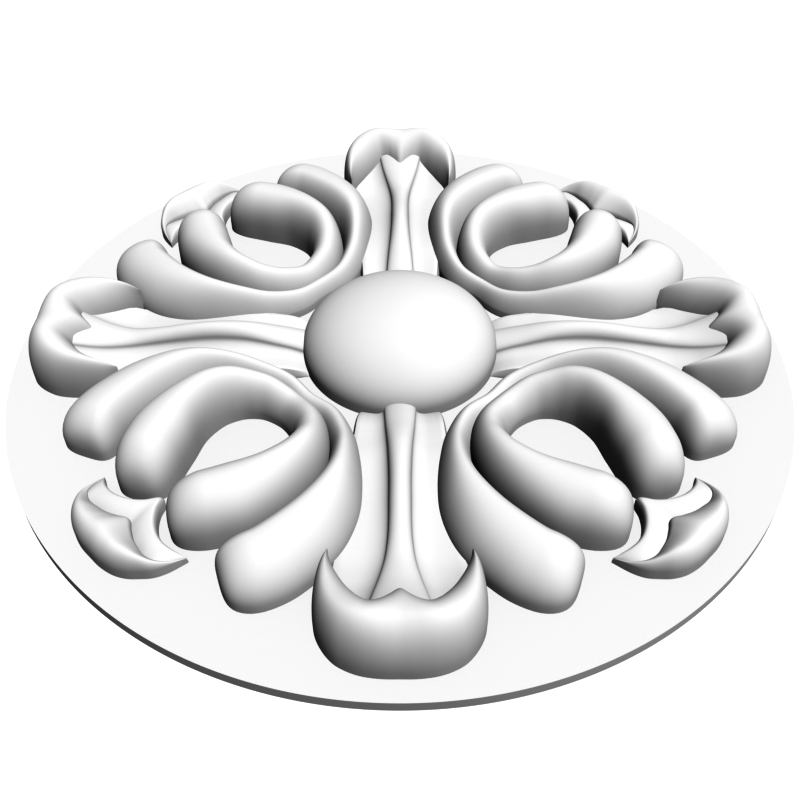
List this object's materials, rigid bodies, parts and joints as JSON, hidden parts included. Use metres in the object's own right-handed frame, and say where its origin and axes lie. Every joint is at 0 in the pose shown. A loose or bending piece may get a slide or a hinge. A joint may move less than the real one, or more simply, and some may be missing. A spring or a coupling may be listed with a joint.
{
  "type": "carved rosette",
  "caption": "Round carved rosette with a domed boss, leaves and looped scrolls in relief on a thin plate, fixed flat by its back.",
  "frame": {"origin": "centre of the flat back face", "axes": "+Z out of the carved face, +X along one leaf, +Y along the next"},
  "size_m": [0.2, 0.2, 0.0194],
  "materials": {
    "painted_wood": "smooth white primer, satin"
  },
  "bodies": {
    "root": {"carved_rosette": "painted_wood"}
  },
  "joints": []
}
